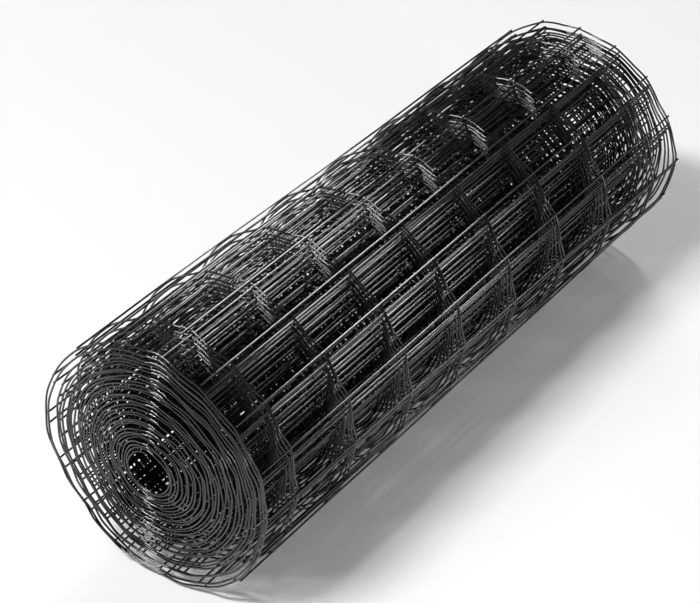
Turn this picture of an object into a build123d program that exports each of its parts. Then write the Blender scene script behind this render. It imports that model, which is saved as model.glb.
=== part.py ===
from build123d import *
import os

os.makedirs("parts", exist_ok=True)

# Welded wire mesh, in millimetres
wire_diameter = 2.2  # steel wire in its black PVC coat
line_wire_pitch = 101.6  # between the line wires, which run round the roll
edge_wire_pitch = 50.8  # from each edge wire to the line wire beside it
line_wire_count = 10  # both edge wires are among them

# Winding
bore_diameter = 48.0  # the hole that is left where the winding began
turn_gap = 1.73  # between the edge wires of two turns, held open by the cross wires
turn_gap_depth = 2.6  # how deep that gap shows on the ends
turn_count = 28

# Sizes that follow from the mesh and the winding
turn_pitch = wire_diameter + turn_gap
inner_pitch_count = line_wire_count - 3
edge_wire_spacing = inner_pitch_count * line_wire_pitch + 2 * edge_wire_pitch
roll_length = edge_wire_spacing + wire_diameter
half_length = roll_length / 2
bore_radius = bore_diameter / 2
outer_radius = bore_radius + turn_count * turn_pitch
last_gap_radius = outer_radius - turn_pitch

# The roll lies on the floor, with its axis along X at the height of its outer radius
roll_axis = Axis((0, 0, outer_radius), (1, 0, 0))
profile_plane = Plane((0, 0, outer_radius), x_dir=(1, 0, 0), z_dir=(0, -1, 0))

# One end of the roll, from the bore outward: the edge wire is a ridge in each turn, with a
# groove between two turns, and the first and the last turn end in a flat as wide as the wire
end_points = [(half_length, bore_radius), (half_length, bore_radius + wire_diameter)]
for turn in range(1, turn_count - 1):
    gap_radius = bore_radius + turn * turn_pitch
    end_points.append((half_length - turn_gap_depth, gap_radius))
    end_points.append((half_length, gap_radius + turn_pitch / 2))
end_points.append((half_length - turn_gap_depth, last_gap_radius))
end_points.append((half_length, outer_radius - wire_diameter))
end_points.append((half_length, outer_radius))

# The wound mesh as one turned solid: half of its profile, mirrored, then turned about the axis
with BuildPart() as wire_roll:
    with BuildSketch(profile_plane):
        with BuildLine():
            Polyline((0, bore_radius), *end_points, (0, outer_radius), close=True)
        make_face()
        mirror(about=Plane.YZ)
    revolve(axis=roll_axis)

wire_roll.part.label = "wire_roll"
export_step(wire_roll.part, "parts/wire_roll.step")
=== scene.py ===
import math

import bpy
import numpy as np
from mathutils import Matrix, Vector


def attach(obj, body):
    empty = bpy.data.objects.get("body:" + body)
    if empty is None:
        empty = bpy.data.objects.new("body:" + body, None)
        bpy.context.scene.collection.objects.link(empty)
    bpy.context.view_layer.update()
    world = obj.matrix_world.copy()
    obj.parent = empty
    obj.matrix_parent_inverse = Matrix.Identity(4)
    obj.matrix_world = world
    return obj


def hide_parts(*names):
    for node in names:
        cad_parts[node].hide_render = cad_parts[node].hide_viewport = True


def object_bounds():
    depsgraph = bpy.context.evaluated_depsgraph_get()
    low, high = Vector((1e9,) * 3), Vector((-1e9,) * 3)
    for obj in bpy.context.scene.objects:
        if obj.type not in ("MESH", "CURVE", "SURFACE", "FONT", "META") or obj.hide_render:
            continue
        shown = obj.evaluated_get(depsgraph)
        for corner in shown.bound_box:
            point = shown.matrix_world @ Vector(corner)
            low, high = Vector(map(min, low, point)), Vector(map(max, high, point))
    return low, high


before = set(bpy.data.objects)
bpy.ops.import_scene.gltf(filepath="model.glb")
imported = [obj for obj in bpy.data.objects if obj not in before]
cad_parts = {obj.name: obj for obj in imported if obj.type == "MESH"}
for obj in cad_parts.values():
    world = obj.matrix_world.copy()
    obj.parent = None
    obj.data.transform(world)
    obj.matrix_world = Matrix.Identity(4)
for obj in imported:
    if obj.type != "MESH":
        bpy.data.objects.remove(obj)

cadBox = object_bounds()
print("frame loaded, CAD box", [round(v, 4) for v in cadBox[0]], [round(v, 4) for v in cadBox[1]])

scene = bpy.context.scene
perMetre = 1000  # lengths are in mm until they go to Blender
axisHeight = perMetre * (cadBox[0].z + cadBox[1].z) / 2  # of the roll's axis above the floor


def linearColour(hexText):
    parts = [int(hexText[i:i + 2], 16) / 255 for i in (1, 3, 5)]
    return [p / 12.92 if p <= 0.04045 else ((p + 0.055) / 1.055) ** 2.4 for p in parts] + [1.0]


def addNode(tree, kind, values=None, links=None, **settings):
    node = tree.nodes.new(kind)
    for name, value in settings.items():
        setattr(node, name, value)
    for socket, value in (values or {}).items():
        node.inputs[socket].default_value = value
    for socket, (source, output) in (links or {}).items():
        tree.links.new(source.outputs[output], node.inputs[socket])
    return node


# The sheet of mesh: 10 line wires run round the roll, and the cross wires lie along it, welded on the
# outside of the line wires
mesh = {
    "wireAcross": 2.2,
    "lineWires": [-406.4, -355.6, -254.0, -152.4, -50.8, 50.8, 152.4, 254.0, 355.6, 406.4],
    "cell": 50.8,  # between two cross wires
    "setDown": 1.7,  # between the middles of the wires at a weld, where they are pressed together
    "crimp": 2.0,  # the line wires zigzag along the roll, one wave to a cell
    "edgeCrimp": 1.0,  # and the edge wires less
    "crimpTurn": 0.6,  # of a cell, to where the zigzag turns back
    "crimpRounding": 0.93,  # 1 is a sharp zigzag
    "overhang": (-0.5, 0.5),  # how far a cross wire stands past the middle of the edge wire
    "sharpEdge": 55.0,  # degrees; the rims of the cut ends are sharper than that
}

# How the sheet is wound: angles in degrees round the axis, from +Y towards +Z
winding = {
    "seed": 11,
    "turns": 30.6,
    "freeEnd": 297.0,  # where the sheet ends on the outside, low on the left of the near end
    "crossWireAt": 135.1,  # one of the outermost cross wires
    "boreRadius": 21.5,
    "boreOval": (2.0, 30.0),  # how far from round, and which way it is longest
    "wobble": 0.34,  # how far a turn strays in and out
    "wobbleWaves": (14, (0.6, 4.2)),  # how many waves make it up, and how many of each fit in a turn
    "wobbleTwist": 0.7,  # how much of the wobble the two ends don't share
    "waveSizes": (0.5, 1.0),
    "bundled": (7.0, 0.9),  # how many outer turns lie in bundles where there is slack, and how much closer
    "shareReach": 150.0,  # degrees, over which a share of the slack fades out
    "shareLeast": 0.02,
    "telescope": 1.0,  # how far the turns stand out of line along the axis
    "telescopeWaves": (10, (0.3, 2.0)),
    "bulge": (0.88, 1.0),  # of a line wire between two cross wires, outside and inside: 0 is straight
    "bulgeFade": (0.1, 0.7),  # of the way in, from the one to the other
}

# The two ends. outline: radius of the outermost line wires by angle. slack: room between the loose turns by
# angle. shares: after which turn, round which angle and how much of it is let in. slackFrom and slackTo: the
# angles over which it comes in. crowding: how much closer the turns lie outside than inside, where 1 is
# evenly
nearEnd = {
    "outline": {0: 137.5, 20: 140, 45: 142, 70: 143.5, 93: 143, 105: 137.5, 116: 134.5, 141: 133.5,
                161: 134.5, 180: 132.5, 200: 132.5, 223: 135, 240: 134.5, 259: 132.5, 274: 129.5,
                296: 128.5, 320: 124, 340: 129},
    "slack": {0: 12, 20: 6, 42: 0, 195: 0, 215: 6, 245: 11, 262: 12, 300: 12, 340: 14},
    "shares": [(1, 335, 0.56), (4, 335, 0.32), (7, 335, 0.12),
               (2, 245, 0.34), (4, 245, 0.40), (7, 245, 0.26)],
    "slackFrom": 60.0,
    "slackTo": 195.0,
    "boreMiddle": (13.0, -2.9),
    "crowding": 1.0,
}
farEnd = {
    "outline": {0: 132, 30: 131, 55: 129.5, 73: 130.5, 94: 127.5, 116: 129.5, 140: 131.5, 152: 131,
                165: 135.5, 178: 139, 198: 137, 215: 136.5, 230: 136, 255: 131.5, 290: 129.5, 330: 131.5},
    "slack": {10: 0, 40: 4, 60: 7, 90: 8, 140: 7, 165: 10, 180: 12, 215: 10, 235: 7, 262: 0},
    "shares": [(0, 90, 0.50), (2, 90, 0.32), (4, 90, 0.18),
               (1, 200, 0.42), (3, 200, 0.34), (5, 200, 0.24)],
    "slackFrom": 262.0,
    "slackTo": 370.0,
    "boreMiddle": (0.0, 0.0),
    "crowding": 1.3,
}

# Where the outer turns lift off along the near upper left: x from full to none, and over how many turns
nearFlare = {"middle": 45.0, "reach": 80.0, "full": -260.0, "none": 150.0, "lift": 6.0, "turns": 3.0}


def angleWindow(angle, middle, reach):
    turned = (angle - math.radians(middle) + math.pi) % (2 * math.pi) - math.pi
    away = np.abs(turned) / math.radians(reach)
    return np.where(away < 1, 0.5 + 0.5 * np.cos(math.pi * np.clip(away, 0, 1)), 0.0)


def smoothStep(value, start, end):
    t = np.clip((value - start) / (end - start), 0, 1)
    return t * t * (3 - 2 * t)


def byAngle(angle, table):
    keys = np.radians(sorted(table))
    values = np.array([table[k] for k in sorted(table)], float)
    return np.interp(angle % (2 * math.pi), keys, values, period=2 * math.pi)


def makeWobble(waves, perTurn):
    pace = rng.uniform(*perTurn, waves)
    phase = rng.uniform(0, 2 * math.pi, waves)
    size = rng.uniform(*winding["waveSizes"], waves)
    size /= math.sqrt((size ** 2).sum() / 2)

    def wobble(phi):
        sines = np.sin(pace[:, None] * phi.ravel() + phase[:, None])
        return (size[:, None] * sines).sum(0).reshape(phi.shape)
    return wobble


rng = np.random.default_rng(winding["seed"])
wobbleMiddle = makeWobble(*winding["wobbleWaves"])
wobbleTwist = makeWobble(*winding["wobbleWaves"])
wobbleAlong = makeWobble(*winding["telescopeWaves"])
freeAngle = math.radians(winding["freeEnd"])
lastPhi = 2 * math.pi * winding["turns"]
halfLength = mesh["lineWires"][-1]


def endPlace(end, phi):
    # Where the winding passes at one end: an even spiral, with slack let in between its outer turns
    angle = freeAngle + phi
    turn = phi / (2 * math.pi)
    outline = byAngle(angle, end["outline"])
    slack = byAngle(angle, end["slack"])
    shares, total = {}, 0
    for after, middle, share in end["shares"]:
        here = share * (winding["shareLeast"] + angleWindow(angle, middle, winding["shareReach"]))
        shares[after] = shares.get(after, 0) + here
        total = total + here
    rampStart = ((end["slackFrom"] - winding["freeEnd"]) % 360) / 360
    rampLength = ((end["slackTo"] - end["slackFrom"]) % 360) / 360
    given = 0
    for after, share in shares.items():
        ramp = smoothStep(turn, rampStart + after, rampStart + after + rampLength)
        given = given + slack * share / total * ramp
    ovalSize, ovalAngle = winding["boreOval"]
    bore = winding["boreRadius"] + ovalSize * np.cos(2 * (angle - math.radians(ovalAngle)))
    inward = np.abs(turn / winding["turns"]) ** end["crowding"] * np.sign(turn)
    bundledTurns, closer = winding["bundled"]
    closer = closer * slack / max(end["slack"].values())
    gathered = closer * bundledTurns * given / (slack + 0.01)  # the 0.01 is for where there is no slack
    given = given + gathered - closer * np.clip(turn, 0, bundledTurns)
    radius = (outline - slack) * (1 - inward) + bore * inward + slack - given
    boreY, boreZ = end["boreMiddle"]
    return np.stack([radius * np.cos(angle) + boreY * inward, radius * np.sin(angle) + boreZ * inward], -1)


def woundPoint(phi, x):
    # phi runs along the sheet from its free end on the outside to the bore
    angle = freeAngle + phi
    turn = phi / (2 * math.pi)
    along = ((x + halfLength) / (2 * halfLength))[..., None]
    place = endPlace(nearEnd, phi) * (1 - along) + endPlace(farEnd, phi) * along
    flare = nearFlare["lift"] * angleWindow(angle, nearFlare["middle"], nearFlare["reach"])
    flare = flare * smoothStep(-x, -nearFlare["none"], -nearFlare["full"])
    flare = flare * np.clip(1 - turn / nearFlare["turns"], 0, 1)
    twist = winding["wobbleTwist"] * x / halfLength * wobbleTwist(phi)
    lift = flare + winding["wobble"] * (wobbleMiddle(phi) + twist)
    y = place[..., 0] + lift * np.cos(angle)
    z = place[..., 1] + lift * np.sin(angle)
    return np.stack([x + winding["telescope"] * wobbleAlong(phi), y, z], -1)


# Cross wires stand one cell apart along the sheet. Where the photo looks square on to the side, each turn's
# wires show further round than those of the outermost turn, by these steps in mm, so the cells give by up
# to 3%. Deeper in they drift as they please, by a seed that leaves few gaps in line
turnSteps = {"first": (0.0, 10.2, 12.0), "then": 15.9, "step": 5.45, "turns": 9, "drift": 6.0, "seed": 44}
fineSteps = 40000
phiFine = np.linspace(0, lastPhi, fineSteps)
middleLine = woundPoint(phiFine, np.zeros_like(phiFine))[:, 1:]
runLength = np.concatenate([[0], np.cumsum(np.hypot(*np.diff(middleLine, axis=0).T))])
placedPhi = (math.radians(winding["crossWireAt"]) - freeAngle) % (2 * math.pi)
placedRuns = np.interp(np.arange(placedPhi, lastPhi, 2 * math.pi), phiFine, runLength)
steps = list(turnSteps["first"])
while len(steps) < turnSteps["turns"]:
    steps.append(turnSteps["then"] + turnSteps["step"] * (len(steps) - len(turnSteps["first"])))
steps = np.array(steps) / mesh["cell"]
cellsOutside = (placedRuns[1] - placedRuns[0]) / mesh["cell"]
cellCounts = [0.0]
driftRng = np.random.default_rng(turnSteps["seed"])
for k in range(len(placedRuns) - 1):
    natural = (placedRuns[k + 1] - placedRuns[k]) / mesh["cell"]
    if k + 1 < len(steps):
        shift = steps[k + 1] - steps[k]
        natural = round(natural + shift) - shift
    else:
        natural += driftRng.uniform(-1, 1) * turnSteps["drift"] / mesh["cell"] * natural / cellsOutside
    cellCounts.append(cellCounts[-1] + natural)
knotRuns = np.concatenate([[0], placedRuns, [runLength[-1]]])
firstCell = -placedRuns[0] / mesh["cell"]
lastCell = cellCounts[-1] + (runLength[-1] - placedRuns[-1]) / mesh["cell"]
knotCounts = np.concatenate([[firstCell], cellCounts, [lastCell]])
wholeCells = np.arange(math.ceil(firstCell), math.floor(lastCell) + 1)
crossPhi = np.interp(np.interp(wholeCells, knotCounts, knotRuns), runLength, phiFine)
print("sheet", round(runLength[-1] / perMetre, 2), "m long,", len(crossPhi), "cross wires")


def tubes(paths, radius, sides, reference):
    # paths is wires x points x 3, and all wires become one joined mesh with closed ends
    tangent = np.gradient(paths, axis=1)
    tangent /= np.linalg.norm(tangent, axis=2, keepdims=True)
    first = reference - (reference * tangent).sum(2, keepdims=True) * tangent
    first /= np.linalg.norm(first, axis=2, keepdims=True)
    second = np.cross(tangent, first)
    turned = (np.arange(sides) * 2 * math.pi / sides)[:, None]
    ring = first[:, :, None] * np.cos(turned) + second[:, :, None] * np.sin(turned)
    points = paths[:, :, None] + radius * ring
    wires, count = paths.shape[:2]
    number = np.arange(wires * count * sides).reshape(wires, count, sides)
    ahead = np.roll(number, -1, axis=2)
    quads = np.stack([number[:, :-1], ahead[:, :-1], ahead[:, 1:], number[:, 1:]], -1).reshape(-1, 4)
    caps = number[:, 0, ::-1].tolist() + number[:, -1].tolist()
    return points.reshape(-1, 3), quads.tolist() + caps


def wirePiece(name, parts, material):
    points, faces, start = [], [], 0
    for partPoints, partFaces in parts:
        points.append(partPoints)
        faces += [[v + start for v in f] for f in partFaces]
        start += len(partPoints)
    points = np.concatenate(points)
    points[:, 2] += axisHeight
    data = bpy.data.meshes.new(name)
    data.from_pydata((points / perMetre).tolist(), [], faces)
    data.shade_smooth()
    data.set_sharp_from_angle(angle=math.radians(mesh["sharpEdge"]))
    piece = bpy.data.objects.new(name, data)
    scene.collection.objects.link(piece)
    data.materials.append(material)
    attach(piece, "root")
    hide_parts("wire_roll")
    print("piece", name, sum(len(p.vertices) - 2 for p in data.polygons), "triangles")


# PVC-coated steel wire: mesh that was welded bare and then dipped in molten black vinyl, under a thin film
# of dust that varies its tone in blotches. Its shine is painted shade: the specular level is turned right
# down on the inner turns, so that the inside of the roll stays black. It stays full on the outer line wires,
# at both ends, and deeper in on the cross wires, which stand proud. There the coat is smoother too, and
# draws thin bright lines
coatedWire = {
    "black": "#030303",
    "dusty": "#0B0B0C",
    "dustFrom": (0.38, 0.72),  # of the blotches, from clean to dusty
    "openRoughness": (0.05, 0.10),
    "sheenFrom": (0.3, 0.7),  # of the blotches, from the one roughness to the other
    "deepRoughness": 0.16,
    # painted shade: the shine below is that of the inner turns, where the roll is kept black
    "openShine": 0.9,
    "paintedShadeShine": 0.06,
    "vinylIor": 1.53,
    "crossShadeFade": (66.0, 110.0),  # mm from the axis, from painted shade to full shine, for the cross wires
    "lineShadeFade": (98.0, 130.0),  # and for the line wires under them
    "edgeFrom": (394.0, 401.0),  # mm along the roll from its middle, from painted shade to full shine, so both ends are left unshaded
    "blotch": 18.0,  # mm, across a dusty or glossier patch
    "grain": 1.6,  # mm, of the coat's orange peel; the real one is finer, and this is as fine as shows
    "grainDepth": 0.00005,  # metres, as the bump node takes it
    "grainStrength": 0.25,
}


def makeCoatedWire(name, shadeFadeFrom):
    coat = coatedWire
    material = bpy.data.materials.new(name)
    material.use_nodes = True
    tree = material.node_tree
    tree.nodes.clear()
    place = addNode(tree, "ShaderNodeTexCoord")
    here = (place, "Object")
    blotch = addNode(tree, "ShaderNodeTexNoise",
                     {"Scale": perMetre / coat["blotch"], "Detail": 3.0, "Roughness": 0.6},
                     {"Vector": here})
    grain = addNode(tree, "ShaderNodeTexNoise",
                    {"Scale": perMetre / coat["grain"], "Detail": 2.0}, {"Vector": here})
    tone = addNode(tree, "ShaderNodeValToRGB", links={"Fac": (blotch, "Fac")})
    for stop, position, colour in zip(tone.color_ramp.elements, coat["dustFrom"], ("black", "dusty")):
        stop.position = position
        stop.color = linearColour(coat[colour])

    # Painted shade: shine and gloss fall from the outer turns to the inner ones by distance from the axis,
    # and stay full at both ends, so that the inside of the roll renders black
    fromAxis = addNode(tree, "ShaderNodeVectorMath", {1: (0, 1, 1), 2: (0, 0, -axisHeight / perMetre)},
                       {0: here}, operation="MULTIPLY_ADD")
    radius = addNode(tree, "ShaderNodeVectorMath", links={0: (fromAxis, "Vector")}, operation="LENGTH")
    low, high = shadeFadeFrom
    outside = addNode(tree, "ShaderNodeMapRange", {"From Min": low / perMetre, "From Max": high / perMetre},
                      {"Value": (radius, "Value")}, interpolation_type="SMOOTHSTEP")
    parts = addNode(tree, "ShaderNodeSeparateXYZ", links={"Vector": here})
    along = addNode(tree, "ShaderNodeMath", links={0: (parts, "X")}, operation="ABSOLUTE")
    low, high = coat["edgeFrom"]
    edge = addNode(tree, "ShaderNodeMapRange", {"From Min": low / perMetre, "From Max": high / perMetre},
                   {"Value": (along, "Value")})
    unshadedMask = addNode(tree, "ShaderNodeMath", links={0: (outside, "Result"), 1: (edge, "Result")},
                     operation="MAXIMUM")

    low, high = coat["sheenFrom"]
    smooth, rough = coat["openRoughness"]
    sheen = addNode(tree, "ShaderNodeMapRange",
                    {"From Min": low, "From Max": high, "To Min": smooth, "To Max": rough},
                    {"Value": (blotch, "Fac")})
    roughness = addNode(tree, "ShaderNodeMapRange", {"To Min": coat["deepRoughness"]},
                        {"Value": (unshadedMask, "Value"), "To Max": (sheen, "Result")})
    shine = addNode(tree, "ShaderNodeMapRange",
                    {"To Min": coat["paintedShadeShine"], "To Max": coat["openShine"]},
                    {"Value": (unshadedMask, "Value")})
    bump = addNode(tree, "ShaderNodeBump",
                   {"Strength": coat["grainStrength"], "Distance": coat["grainDepth"]},
                   {"Height": (grain, "Fac")})
    shader = addNode(tree, "ShaderNodeBsdfPrincipled", {"IOR": coat["vinylIor"]},
                     {"Base Color": (tone, "Color"), "Roughness": (roughness, "Result"),
                      "Specular IOR Level": (shine, "Result"), "Normal": (bump, "Normal")})
    addNode(tree, "ShaderNodeOutputMaterial", links={"Surface": (shader, "BSDF")})
    return material


crossCoat = makeCoatedWire("pvc_coated_cross_wire", coatedWire["crossShadeFade"])
lineCoat = makeCoatedWire("pvc_coated_line_wire", coatedWire["lineShadeFade"])


# Line wires: points between the cross wires, most of the way from the straight chord to the full curve,
# with a cut end past the first and the last cross wire that hooks inward
lineWire = {
    "pointsPerCell": 8,
    "sides": 8,
    "cutEnd": (12.0, 21.0),
    "tipSteps": (0.34, 0.67, 1.0),  # where the points of a cut end lie along it
    "hook": 2.0,
}


def lineWirePath(x):
    share = np.arange(lineWire["pointsPerCell"]) / lineWire["pointsPerCell"]
    start, end = crossPhi[:-1, None], crossPhi[1:, None]
    phi = start + (end - start) * share
    phi = np.append(phi.ravel(), crossPhi[-1])
    curve = woundPoint(phi, np.full_like(phi, x))
    knots = woundPoint(crossPhi, np.full_like(crossPhi, x))
    chord = knots[:-1, None] * (1 - share[:, None]) + knots[1:, None] * share[:, None]
    chord = np.concatenate([chord.reshape(-1, 3), knots[-1:]])
    inside = np.clip(phi / lastPhi, 0, 1)
    outBulge, inBulge = winding["bulge"]
    bulge = (outBulge + (inBulge - outBulge) * smoothStep(inside, *winding["bulgeFade"]))[:, None]
    path = chord + bulge * (curve - chord)
    wave = np.append(np.tile(share, len(crossPhi) - 1), 0.0)
    pieces = [path]
    for way, knotPhi in ((-1, crossPhi[0]), (1, crossPhi[-1])):
        tip = np.array(lineWire["tipSteps"])[::way]
        length = rng.uniform(*lineWire["cutEnd"])
        radius = np.hypot(*woundPoint(np.array([knotPhi]), np.array([x]))[0, 1:])
        tipPhi = knotPhi + way * tip * length / radius
        tipPath = woundPoint(tipPhi, np.full_like(tipPhi, x))
        tipPath[:, 1:] *= (1 - lineWire["hook"] * tip ** 2 / radius)[:, None]
        pieces = [tipPath] + pieces if way < 0 else pieces + [tipPath]
        tipWave = tip * length / mesh["cell"]
        wave = np.append(tipWave, wave) if way < 0 else np.append(wave, tipWave)
    path = np.concatenate(pieces)
    limit = mesh["crimpRounding"]
    turn = mesh["crimpTurn"]
    wave = wave % 1.0
    wave = np.where(wave < turn, wave / turn / 2, 0.5 + (wave - turn) / (1 - turn) / 2)
    crimp = mesh["edgeCrimp"] if abs(x) == halfLength else mesh["crimp"]
    path[:, 0] += crimp * np.arcsin(limit * np.cos(2 * math.pi * wave)) / math.asin(limit)
    return path


alongRoll = np.array([1.0, 0.0, 0.0])
wireRadius = mesh["wireAcross"] / 2
lineParts = {"edge_wires": [], "line_wires_near": [], "line_wires_far": []}
for x in mesh["lineWires"]:
    part = tubes(lineWirePath(x)[None], wireRadius, lineWire["sides"], alongRoll)
    if abs(x) == halfLength:
        lineParts["edge_wires"].append(part)
    else:
        lineParts["line_wires_near" if x < 0 else "line_wires_far"].append(part)
for name, parts in lineParts.items():
    wirePiece(name, parts, lineCoat)


# Cross wires: straight bars in the sheet, a little bowed along their length
crossWire = {"points": 33, "sides": 8, "bow": 0.5, "bowWaves": (1, 2, 3, 4, 6)}


def crossWirePaths():
    wires = len(crossPhi)
    nearOver = rng.uniform(*mesh["overhang"], wires)
    farOver = rng.uniform(*mesh["overhang"], wires)
    share = np.linspace(0, 1, crossWire["points"])
    x = (-halfLength - nearOver)[:, None] + (2 * halfLength + nearOver + farOver)[:, None] * share
    phi = np.repeat(crossPhi[:, None], crossWire["points"], 1)
    path = woundPoint(phi, x)
    outward = np.stack([np.zeros_like(phi), np.cos(freeAngle + phi), np.sin(freeAngle + phi)], -1)
    across = np.stack([np.zeros_like(phi), -np.sin(freeAngle + phi), np.cos(freeAngle + phi)], -1)
    path = path + mesh["setDown"] * outward
    path[:, :, 0] += mesh["crimp"]
    for direction in (outward, across):
        for waves in crossWire["bowWaves"]:
            size = rng.normal(0, crossWire["bow"] / waves ** 0.5, wires)
            phase = rng.uniform(0, 2 * math.pi, wires)
            bow = size[:, None] * np.sin(waves * math.pi * share + phase[:, None])
            path = path + bow[:, :, None] * direction
    return path, outward


crossPaths, crossOutward = crossWirePaths()
wirePiece("cross_wires", [tubes(crossPaths, wireRadius, crossWire["sides"], crossOutward)], crossCoat)


# Matt white paper, rolled out as floor and wall in one: it scatters all light evenly, and keeps the roll's
# shadow. Lengths in metres
stage = {
    "colour": "#F2F2F2",
    "showsWhite": 0.13,  # added where it is seen, so that it shows as white
    "floorRings": (2.0, 6.0),
    "floorReach": 14.0,
    "bend": 3.0,
    "bendSteps": 12,
    "wallTop": 9.0,
    "sides": 64,
    "roomLight": 0.03,
}


def makeSweep():
    bend = stage["bend"]
    rings = [(r, 0.0) for r in stage["floorRings"]]
    for angle in np.linspace(0, math.pi / 2, stage["bendSteps"]):
        rings.append((stage["floorReach"] + bend * math.sin(angle), bend - bend * math.cos(angle)))
    rings.append((rings[-1][0], stage["wallTop"]))
    sides = stage["sides"]
    points = [(0, 0, 0)]
    for r, h in rings:
        for i in range(sides):
            angle = i * 2 * math.pi / sides
            points.append((r * math.cos(angle), r * math.sin(angle), h))
    faces = [(0, 1 + i, 1 + (i + 1) % sides) for i in range(sides)]
    for k in range(len(rings) - 1):
        low = 1 + k * sides
        for i in range(sides):
            j = (i + 1) % sides
            faces.append((low + i, low + sides + i, low + sides + j, low + j))
    data = bpy.data.meshes.new("paper_sweep")
    data.from_pydata(points, [], faces)
    data.shade_smooth()
    sweep = bpy.data.objects.new("paper_sweep", data)
    scene.collection.objects.link(sweep)

    material = bpy.data.materials.new("matt_white_paper")
    material.use_nodes = True
    tree = material.node_tree
    tree.nodes.clear()
    rays = addNode(tree, "ShaderNodeLightPath")
    seen = addNode(tree, "ShaderNodeMath",
                   links={0: (rays, "Is Camera Ray"), 1: (rays, "Is Glossy Ray")}, operation="MAXIMUM")
    seen = addNode(tree, "ShaderNodeMath",
                   links={0: (seen, "Value"), 1: (rays, "Is Transmission Ray")}, operation="MAXIMUM")
    strength = addNode(tree, "ShaderNodeMath", {1: stage["showsWhite"]}, {0: (seen, "Value")},
                       operation="MULTIPLY")
    glow = addNode(tree, "ShaderNodeEmission", {"Color": (1, 1, 1, 1)}, {"Strength": (strength, "Value")})
    paper = addNode(tree, "ShaderNodeBsdfDiffuse", {"Color": linearColour(stage["colour"])})
    both = addNode(tree, "ShaderNodeAddShader", links={0: (paper, "BSDF"), 1: (glow, "Emission")})
    addNode(tree, "ShaderNodeOutputMaterial", links={"Surface": (both, "Shader")})
    data.materials.append(material)


def makeRoom():
    world = bpy.data.worlds.new("studio")
    scene.world = world
    world.use_nodes = True
    tree = world.node_tree
    tree.nodes.clear()
    room = addNode(tree, "ShaderNodeBackground", {"Color": (1, 1, 1, 1), "Strength": stage["roomLight"]})
    addNode(tree, "ShaderNodeOutputWorld", links={"Surface": (room, "Background")})


makeSweep()
makeRoom()
print("stage made")

# Soft boxes: where they stand, width and height in metres, and power in watts. All face the roll, their
# width square to its axis, so that a strip is mirrored along whole cross wires
softBoxes = {
    "main_box": {"at": (-2.95, 1.1, 4.3), "size": (1.8, 0.6), "power": 245.0},  # near end, arcs on top
    "back_strip": {"at": (8.3, 4.0, 7.8), "size": (4.6, 1.2), "power": 425.0},  # cross wires, from above
    "front_strip": {"at": (6.9, -3.4, 6.5), "size": (3.0, 0.9), "power": 40.0},  # those that others shade
    "low_right_box": {"at": (-1.7, -4.6, 1.5), "size": (0.8, 0.8), "power": 40.0},  # lower right of the end
}
aim = Vector((0, 0, axisHeight / perMetre))
for name, box in softBoxes.items():
    lamp = bpy.data.lights.new(name, "AREA")
    lamp.shape = "RECTANGLE"
    lamp.size, lamp.size_y = box["size"]
    lamp.energy = box["power"]
    holder = bpy.data.objects.new(name, lamp)
    holder.location = box["at"]
    backward = (Vector(box["at"]) - aim).normalized()
    wide = Vector(alongRoll).cross(backward).normalized()
    holder.rotation_euler = Matrix((wide, backward.cross(wide), backward)).transposed().to_euler()
    holder.visible_camera = False
    scene.collection.objects.link(holder)
print("soft boxes set up")

# Camera as in the photo, worked out from the wire crossings: its place in metres, its lens in mm
camera = {
    "at": (-2.2202, -1.4299, 1.8867),
    "towards": (0.6915, 0.4588, -0.5580),
    "lens": 150.6,
    "sensor": 36.0,
}
cameraData = bpy.data.cameras.new("camera")
cameraData.sensor_fit = "HORIZONTAL"
cameraData.sensor_width = camera["sensor"]
cameraData.lens = camera["lens"]
cameraHolder = bpy.data.objects.new("camera", cameraData)
cameraHolder.location = camera["at"]
cameraHolder.rotation_euler = Vector(camera["towards"]).to_track_quat("-Z", "Y").to_euler()
scene.collection.objects.link(cameraHolder)
scene.camera = cameraHolder

scene.view_settings.view_transform = "Standard"

bpy.context.view_layer.update()
